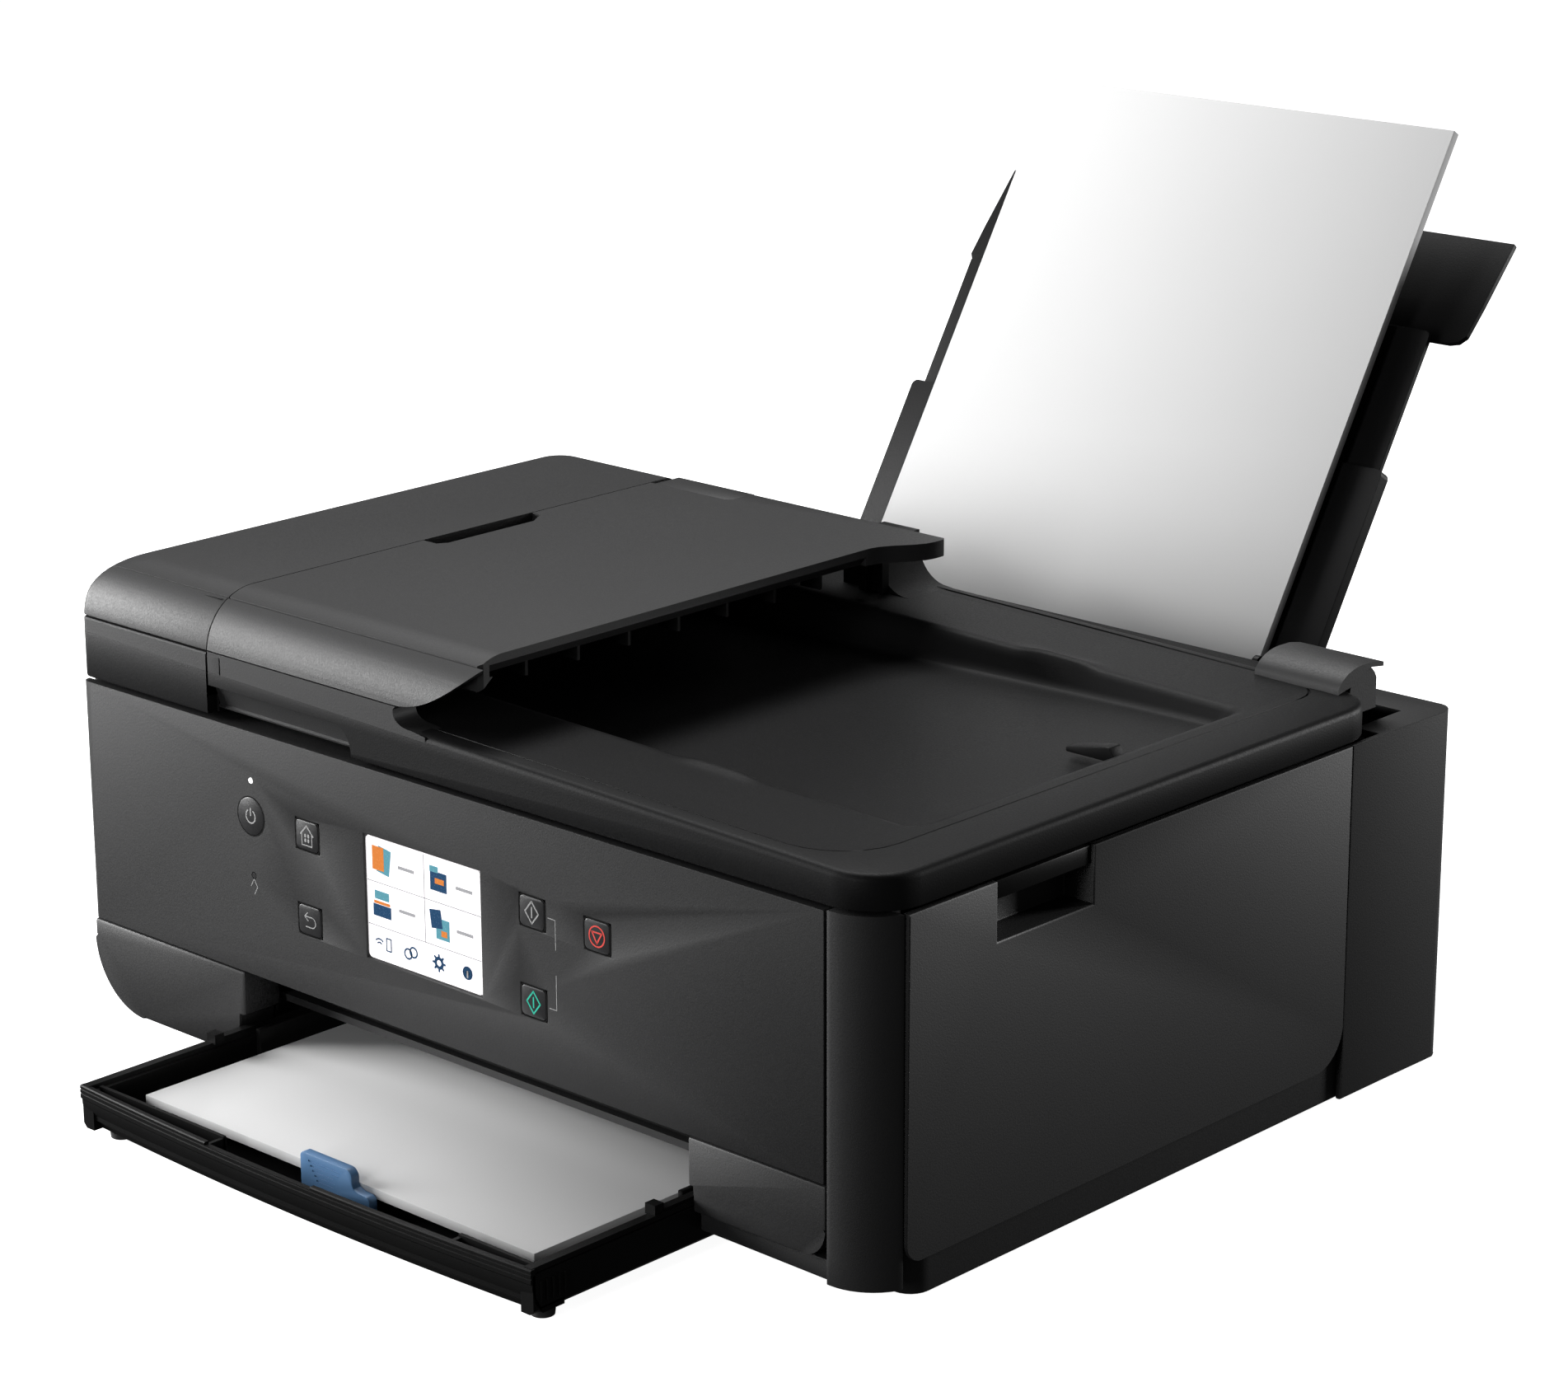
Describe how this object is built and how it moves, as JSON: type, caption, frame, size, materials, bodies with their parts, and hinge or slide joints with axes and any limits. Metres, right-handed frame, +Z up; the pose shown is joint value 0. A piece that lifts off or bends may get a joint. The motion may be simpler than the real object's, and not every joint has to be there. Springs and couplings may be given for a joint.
{
  "type": "inkjet printer",
  "caption": "Desktop inkjet printer with flat-bed scanner, document feeder, touch screen panel, front paper cassette and leaning rear paper tray.",
  "frame": {"origin": "on the floor, under the middle of the machine's bounding box", "axes": "+X to the right seen from the front, +Y from the front panel to the back, +Z up"},
  "size_m": [0.43, 0.5585, 0.3515],
  "materials": {
    "case_black": "fine textured",
    "panel_black": "fine textured",
    "button_black": "smooth satin",
    "inner_black": "satin",
    "screen_face": "backlit, glossy",
    "lamp_clear": "translucent",
    "scanner_glass": "polished",
    "pad_white": "smooth",
    "paper_white": "uncoated sheet stack",
    "guide_blue": "satin",
    "rubber_black": "matte",
    "steel": "bright",
    "sheet_metal": "zinc coated",
    "board_green": "solder mask",
    "supply_grey": "moulded",
    "tank_black": "satin"
  },
  "bodies": {
    "chassis": {"base_frame": "inner_black", "front_frame": "case_black", "lower_left_cover": "case_black", "lower_right_cover": "case_black", "right_side_panel": "case_black", "left_side_panel": "case_black", "rear_housing": "case_black", "rear_tray_frame": "case_black", "power_inlet": "inner_black", "interface_ports": "inner_black", "chassis_frame": "sheet_metal", "carriage_shaft": "steel", "platen": "inner_black", "purge_unit": "inner_black", "carriage_belt": "rubber_black", "power_supply": "supply_grey", "main_board": "board_green", "feet": "rubber_black", "hinge_pins": "steel", "screws": "steel"},
    "access_cover": {"rear_access_cover": "case_black"},
    "panel": {"operation_panel": "panel_black", "touch_screen": "screen_face", "control_board": "board_green", "status_lenses": "lamp_clear"},
    "power_button": {"power_button": "button_black"},
    "home_button": {"home_button": "button_black"},
    "back_button": {"back_button": "button_black"},
    "black_start_button": {"black_start_button": "button_black"},
    "colour_start_button": {"colour_start_button": "button_black"},
    "stop_button": {"stop_button": "button_black"},
    "scanner": {"scanner_frame": "inner_black", "platen_glass": "scanner_glass", "cover_hinge_brackets": "inner_black"},
    "scan_bar": {"scan_bar": "inner_black"},
    "cover": {"document_cover": "case_black", "hinge_caps": "case_black", "cover_pad": "pad_white", "feeder_front_trim": "case_black"},
    "feeder_cover": {"feeder_cover": "case_black"},
    "document_tray": {"document_tray": "case_black"},
    "front_document_guide": {"front_document_guide": "inner_black"},
    "rear_document_guide": {"rear_document_guide": "inner_black"},
    "feeder_pickup_roller": {"feeder_pickup_roller": "rubber_black"},
    "feeder_drive_roller": {"feeder_drive_roller": "rubber_black"},
    "cassette": {"cassette_tray": "inner_black"},
    "cassette_extension": {"cassette_extension": "inner_black"},
    "end_guide": {"cassette_end_guide": "guide_blue"},
    "cassette_paper": {"cassette_paper": "paper_white"},
    "output_tray": {"paper_output_tray": "inner_black"},
    "support_lower": {"paper_support_lower": "case_black"},
    "support_upper": {"paper_support_upper": "case_black"},
    "support_flap": {"paper_support_flap": "case_black"},
    "rear_paper": {"rear_paper": "paper_white"},
    "left_rear_guide": {"left_rear_guide": "inner_black"},
    "right_rear_guide": {"right_rear_guide": "inner_black"},
    "feed_roller": {"feed_roller": "rubber_black"},
    "exit_roller": {"exit_roller": "rubber_black"},
    "carriage": {"print_carriage": "inner_black", "ink_tanks": "tank_black"}
  },
  "joints": [
    {"name": "panel_tilt", "type": "hinge", "parent": "chassis", "child": "panel", "pos_m": [0, -0.1934, 0.1458], "axis": [-1, 0, 0], "range_deg": [0, 45]},
    {"name": "power_press", "type": "slide", "parent": "panel", "child": "power_button", "axis": [0, 1, 0], "range_m": [0, 0.001], "stiffness_N_per_m": 800},
    {"name": "home_press", "type": "slide", "parent": "panel", "child": "home_button", "axis": [0, 1, 0], "range_m": [0, 0.001], "stiffness_N_per_m": 800},
    {"name": "back_press", "type": "slide", "parent": "panel", "child": "back_button", "axis": [0, 1, 0], "range_m": [0, 0.001], "stiffness_N_per_m": 800},
    {"name": "black_start_press", "type": "slide", "parent": "panel", "child": "black_start_button", "axis": [0, 1, 0], "range_m": [0, 0.001], "stiffness_N_per_m": 800},
    {"name": "colour_start_press", "type": "slide", "parent": "panel", "child": "colour_start_button", "axis": [0, 1, 0], "range_m": [0, 0.001], "stiffness_N_per_m": 800},
    {"name": "stop_press", "type": "slide", "parent": "panel", "child": "stop_button", "axis": [0, 1, 0], "range_m": [0, 0.001], "stiffness_N_per_m": 800},
    {"name": "scanner_lift", "type": "hinge", "parent": "chassis", "child": "scanner", "pos_m": [0, 0.1074, 0.141], "axis": [-1, 0, 0], "range_deg": [0, 25]},
    {"name": "scan_bar_travel", "type": "slide", "parent": "scanner", "child": "scan_bar", "axis": [1, 0, 0], "range_m": [0, 0.36]},
    {"name": "cover_lift", "type": "hinge", "parent": "scanner", "child": "cover", "pos_m": [0, 0.1034, 0.16], "axis": [-1, 0, 0], "range_deg": [0, 50]},
    {"name": "feeder_cover_open", "type": "hinge", "parent": "cover", "child": "feeder_cover", "pos_m": [-0.2135, -0.0656, 0.1785], "axis": [0, -1, 0], "range_deg": [0, 80]},
    {"name": "document_tray_open", "type": "hinge", "parent": "cover", "child": "document_tray", "pos_m": [0.0075, -0.0596, 0.196], "axis": [0, 1, 0], "range_deg": [0, 165]},
    {"name": "front_document_guide_slide", "type": "slide", "parent": "document_tray", "child": "front_document_guide", "axis": [0, 1, 0], "range_m": [0, 0.07]},
    {"name": "rear_document_guide_slide", "type": "slide", "parent": "document_tray", "child": "rear_document_guide", "axis": [0, -1, 0], "range_m": [0, 0.07]},
    {"name": "feeder_pickup_spin", "type": "hinge", "parent": "cover", "child": "feeder_pickup_roller", "pos_m": [-0.15, -0.0596, 0.182], "axis": [0, 1, 0], "continuous": true},
    {"name": "feeder_drive_spin", "type": "hinge", "parent": "cover", "child": "feeder_drive_roller", "pos_m": [-0.182, -0.0596, 0.182], "axis": [0, 1, 0], "continuous": true},
    {"name": "cassette_slide", "type": "slide", "parent": "chassis", "child": "cassette", "axis": [0, -1, 0], "range_m": [0, 0.2]},
    {"name": "extension_slide", "type": "slide", "parent": "cassette", "child": "cassette_extension", "axis": [0, 1, 0], "range_m": [0, 0.075]},
    {"name": "end_guide_slide", "type": "slide", "parent": "cassette_extension", "child": "end_guide", "axis": [0, -1, 0], "range_m": [0, 0.006]},
    {"name": "cassette_paper_feed", "type": "slide", "parent": "cassette_extension", "child": "cassette_paper", "axis": [0, 1, 0], "range_m": [0, 0.025]},
    {"name": "output_tray_slide", "type": "slide", "parent": "chassis", "child": "output_tray", "axis": [0, -1, 0], "range_m": [0, 0.12]},
    {"name": "support_lower_slide", "type": "slide", "parent": "chassis", "child": "support_lower", "axis": [0, -0.5255, -0.8508], "range_m": [0, 0.07]},
    {"name": "support_upper_slide", "type": "slide", "parent": "support_lower", "child": "support_upper", "axis": [0, -0.5255, -0.8508], "range_m": [0, 0.06]},
    {"name": "flap_fold", "type": "hinge", "parent": "support_upper", "child": "support_flap", "pos_m": [0.012, 0.23413, 0.26737], "axis": [1, 0, 0], "range_deg": [0, 25]},
    {"name": "rear_paper_lift", "type": "slide", "parent": "chassis", "child": "rear_paper", "axis": [0, 0.5255, 0.8508], "range_m": [0, 0.1]},
    {"name": "left_rear_guide_slide", "type": "slide", "parent": "chassis", "child": "left_rear_guide", "axis": [-1, 0, 0], "range_m": [0, 0.014]},
    {"name": "right_rear_guide_slide", "type": "slide", "parent": "chassis", "child": "right_rear_guide", "axis": [1, 0, 0], "range_m": [0, 0.014]},
    {"name": "feed_roller_spin", "type": "hinge", "parent": "chassis", "child": "feed_roller", "pos_m": [0, -0.0186, 0.054], "axis": [1, 0, 0], "continuous": true},
    {"name": "exit_roller_spin", "type": "hinge", "parent": "chassis", "child": "exit_roller", "pos_m": [0, -0.0846, 0.054], "axis": [1, 0, 0], "continuous": true},
    {"name": "carriage_slide", "type": "slide", "parent": "chassis", "child": "carriage", "axis": [-1, 0, 0], "range_m": [0, 0.26]},
    {"name": "access_cover_swing", "type": "hinge", "parent": "chassis", "child": "access_cover", "pos_m": [0.012, 0.1419, 0.0215], "axis": [-1, 0, 0], "range_deg": [0, 90]}
  ],
  "couplings": [
    {"joint": "rear_document_guide_slide", "follows": "front_document_guide_slide", "ratio": 1},
    {"joint": "feeder_drive_spin", "follows": "feeder_pickup_spin", "ratio": 1},
    {"joint": "right_rear_guide_slide", "follows": "left_rear_guide_slide", "ratio": 1},
    {"joint": "exit_roller_spin", "follows": "feed_roller_spin", "ratio": 1}
  ]
}
